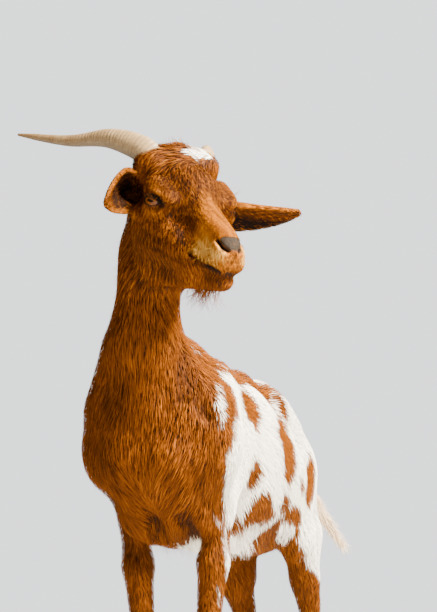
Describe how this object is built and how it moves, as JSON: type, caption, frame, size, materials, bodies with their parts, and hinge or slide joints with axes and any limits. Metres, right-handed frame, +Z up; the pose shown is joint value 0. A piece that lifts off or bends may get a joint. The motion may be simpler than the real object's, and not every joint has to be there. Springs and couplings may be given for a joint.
{
  "type": "standing goat",
  "caption": "Life-size still model of a standing horned goat, head turned to its left, with a short brown coat and white patches.",
  "frame": {"origin": "on the floor below the middle of the whole goat's bounding box", "axes": "+Z up, the goat faces -Y and its left side is towards +X"},
  "size_m": [0.3824, 0.8492, 0.9197],
  "materials": {
    "brown_coat": "short hair",
    "white_coat": "short hair",
    "horn": "ribbed horn",
    "claw": "dull horn",
    "eye": "wet"
  },
  "bodies": {
    "root": {"claw_left_fore_inner": "claw", "claw_left_fore_outer": "claw", "claw_left_hind_inner": "claw", "claw_left_hind_outer": "claw", "claw_right_fore_inner": "claw", "claw_right_fore_outer": "claw", "claw_right_hind_inner": "claw", "claw_right_hind_outer": "claw", "dewclaw_left_fore_inner": "claw", "dewclaw_left_fore_outer": "claw", "dewclaw_left_hind_inner": "claw", "dewclaw_left_hind_outer": "claw", "dewclaw_right_fore_inner": "claw", "dewclaw_right_fore_outer": "claw", "dewclaw_right_hind_inner": "claw", "dewclaw_right_hind_outer": "claw", "ear_left": "brown_coat", "ear_right": "brown_coat", "eye_left": "eye", "eye_right": "eye", "foreleg_left": "brown_coat", "foreleg_right": "brown_coat", "head": "brown_coat", "hindleg_left": "brown_coat", "hindleg_right": "brown_coat", "horn_left": "horn", "horn_right": "horn", "neck": "brown_coat", "tail": "white_coat", "trunk": "white_coat"}
  },
  "joints": []
}
